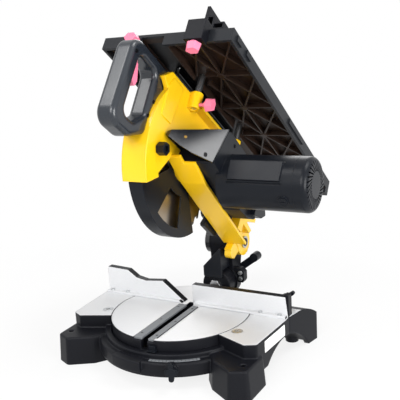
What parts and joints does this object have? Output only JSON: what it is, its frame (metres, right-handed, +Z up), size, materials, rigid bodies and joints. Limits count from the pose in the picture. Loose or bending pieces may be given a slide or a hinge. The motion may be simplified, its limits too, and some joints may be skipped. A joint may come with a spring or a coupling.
{
  "type": "compound mitre saw with upper saw table",
  "caption": "Bench mitre saw whose tilting head drops a round blade into a turntable slot, with a ribbed height-adjustable saw table and rip fence on top of the head.",
  "frame": {"origin": "on the bench, at the centre of the four foot holes and under the mitre axis", "axes": "+X to the operator's right, +Y to the rear, +Z up"},
  "size_m": [0.46, 0.6001, 0.6007],
  "materials": {
    "yellow_paint": "gloss enamel over cast aluminium",
    "black_casting": "black powder-coated cast aluminium with machined faces",
    "black_plastic": "moulded black plastic",
    "grip_plastic": "moulded grip plastic",
    "pink_plastic": "moulded red-pink plastic",
    "grey_plastic": "moulded grey plastic",
    "steel": "zinc-plated steel",
    "blade_steel": "ground saw steel",
    "dark_steel": "black-oxide steel",
    "copper_core": "wound core",
    "lens": "red lens"
  },
  "bodies": {
    "base": {"base_casting": "black_casting", "wing_screws": "steel", "mitre_scale": "grey_plastic", "mitre_bolt": "dark_steel", "fence_left": "black_casting", "fence_right": "black_casting", "fence_bolts": "steel"},
    "mitre_lock": {"mitre_lock_screw": "black_plastic"},
    "left_fence_knob": {"left_fence_knob": "pink_plastic"},
    "right_fence_screw": {"right_fence_screw": "black_plastic"},
    "turntable": {"turntable": "black_casting", "kerf_insert_left": "grey_plastic", "kerf_insert_right": "grey_plastic", "insert_screws": "dark_steel", "mitre_pointer": "black_plastic", "bevel_pin": "steel"},
    "bevel_arm": {"bevel_arm": "black_casting", "bevel_stop_screws": "steel"},
    "bevel_lever": {"bevel_lock_lever": "black_plastic"},
    "head": {"head_casting": "yellow_paint", "pivot_axle": "dark_steel", "axle_washers": "steel", "arbor_bearing": "steel", "gear_case": "black_casting", "rear_arbor_bearing": "steel", "rotor_bearing": "steel", "motor_housing": "black_plastic", "brush_caps": "black_plastic", "motor_cap": "black_plastic", "stator": "copper_core", "motor_shield": "black_plastic", "riving_knife": "steel", "handle_left": "grip_plastic", "handle_right": "grip_plastic", "switch_body": "black_plastic", "laser_module": "black_plastic", "laser_lens": "lens"},
    "head_pin": {"head_lock_pin": "dark_steel"},
    "spindle_button": {"spindle_lock_button": "black_plastic"},
    "blade": {"saw_blade": "blade_steel", "inner_flange": "steel", "outer_flange": "steel", "arbor_shaft": "steel", "arbor_bolt": "dark_steel", "drive_gear": "steel"},
    "rotor": {"rotor": "copper_core", "cooling_fan": "black_plastic"},
    "lower_guard": {"lower_guard": "black_plastic"},
    "trigger": {"trigger": "pink_plastic"},
    "guard_knob": {"guard_knob": "black_plastic"},
    "upper_table": {"upper_table": "black_casting", "table_insert": "dark_steel", "table_posts": "steel"},
    "table_front_knob": {"table_front_knob": "pink_plastic"},
    "table_side_knob": {"table_side_knob": "pink_plastic"},
    "rip_fence": {"rip_fence": "black_casting"},
    "rip_fence_knob": {"rip_fence_knob": "pink_plastic"}
  },
  "joints": [
    {"name": "mitre_swing", "type": "hinge", "parent": "base", "child": "turntable", "pos_m": [0, 0, 0.074], "axis": [0, 0, 1], "range_deg": [-45, 45]},
    {"name": "bevel_tilt", "type": "hinge", "parent": "turntable", "child": "bevel_arm", "pos_m": [0, 0.168, 0.074], "axis": [0, -1, 0], "range_deg": [0, 45]},
    {"name": "head_drop", "type": "hinge", "parent": "bevel_arm", "child": "head", "pos_m": [0, 0.193, 0.152], "axis": [1, 0, 0], "range_deg": [0, 42], "stiffness_Nm_per_rad": 25, "springref_deg": -68.75},
    {"name": "blade_spin", "type": "hinge", "parent": "head", "child": "blade", "pos_m": [0, 0.02441, 0.34594], "axis": [1, 0, 0], "continuous": true},
    {"name": "rotor_spin", "type": "hinge", "parent": "head", "child": "rotor", "pos_m": [0, 0.03493, 0.31151], "axis": [1, 0, 0], "continuous": true},
    {"name": "guard_swing", "type": "hinge", "parent": "head", "child": "lower_guard", "pos_m": [0, 0.02441, 0.34594], "axis": [-1, 0, 0], "range_deg": [0, 92.5]},
    {"name": "trigger_pull", "type": "hinge", "parent": "head", "child": "trigger", "pos_m": [0, -0.0889, 0.52344], "axis": [-1, 0, 0], "range_deg": [0, 8], "stiffness_Nm_per_rad": 0.6},
    {"name": "spindle_press", "type": "slide", "parent": "head", "child": "spindle_button", "axis": [0, -0.5878, -0.809], "range_m": [0, 0.004], "stiffness_N_per_m": 500},
    {"name": "head_pin_pull", "type": "slide", "parent": "head", "child": "head_pin", "axis": [1, 0, 0], "range_m": [0, 0.01]},
    {"name": "table_height", "type": "slide", "parent": "head", "child": "upper_table", "axis": [0, 0.5878, 0.809], "range_m": [-0.032, 0]},
    {"name": "rip_slide", "type": "slide", "parent": "upper_table", "child": "rip_fence", "axis": [1, 0, 0], "range_m": [-0.045, 0.04]},
    {"name": "mitre_lock_turn", "type": "hinge", "parent": "base", "child": "mitre_lock", "pos_m": [0.05898, -0.13246, 0.038], "axis": [0.4067, -0.9135, 0], "continuous": true},
    {"name": "left_fence_knob_turn", "type": "hinge", "parent": "base", "child": "left_fence_knob", "pos_m": [-0.156, 0.06, 0.108], "axis": [0, 1, 0], "continuous": true},
    {"name": "right_fence_screw_turn", "type": "hinge", "parent": "base", "child": "right_fence_screw", "pos_m": [0.178, 0.06, 0.1], "axis": [0, 1, 0], "range_deg": [-40, 40]},
    {"name": "bevel_lever_turn", "type": "hinge", "parent": "bevel_arm", "child": "bevel_lever", "pos_m": [0, 0.215, 0.074], "axis": [0, 1, 0], "range_deg": [0, 35]},
    {"name": "guard_knob_turn", "type": "hinge", "parent": "head", "child": "guard_knob", "pos_m": [0.03, -0.07457, 0.38324], "axis": [1, 0, 0], "continuous": true},
    {"name": "table_front_knob_turn", "type": "hinge", "parent": "upper_table", "child": "table_front_knob", "pos_m": [-0.033, -0.03738, 0.55522], "axis": [0, -0.809, 0.5878], "continuous": true},
    {"name": "table_side_knob_turn", "type": "hinge", "parent": "head", "child": "table_side_knob", "pos_m": [0.06, 0.03216, 0.44166], "axis": [1, 0, 0], "continuous": true},
    {"name": "rip_fence_knob_turn", "type": "hinge", "parent": "rip_fence", "child": "rip_fence_knob", "pos_m": [0.088, -0.05016, 0.54103], "axis": [0, -0.5878, -0.809], "continuous": true}
  ],
  "couplings": [
    {"joint": "rotor_spin", "follows": "blade_spin", "ratio": -4},
    {"joint": "guard_swing", "follows": "head_drop", "ratio": 2.1905}
  ]
}
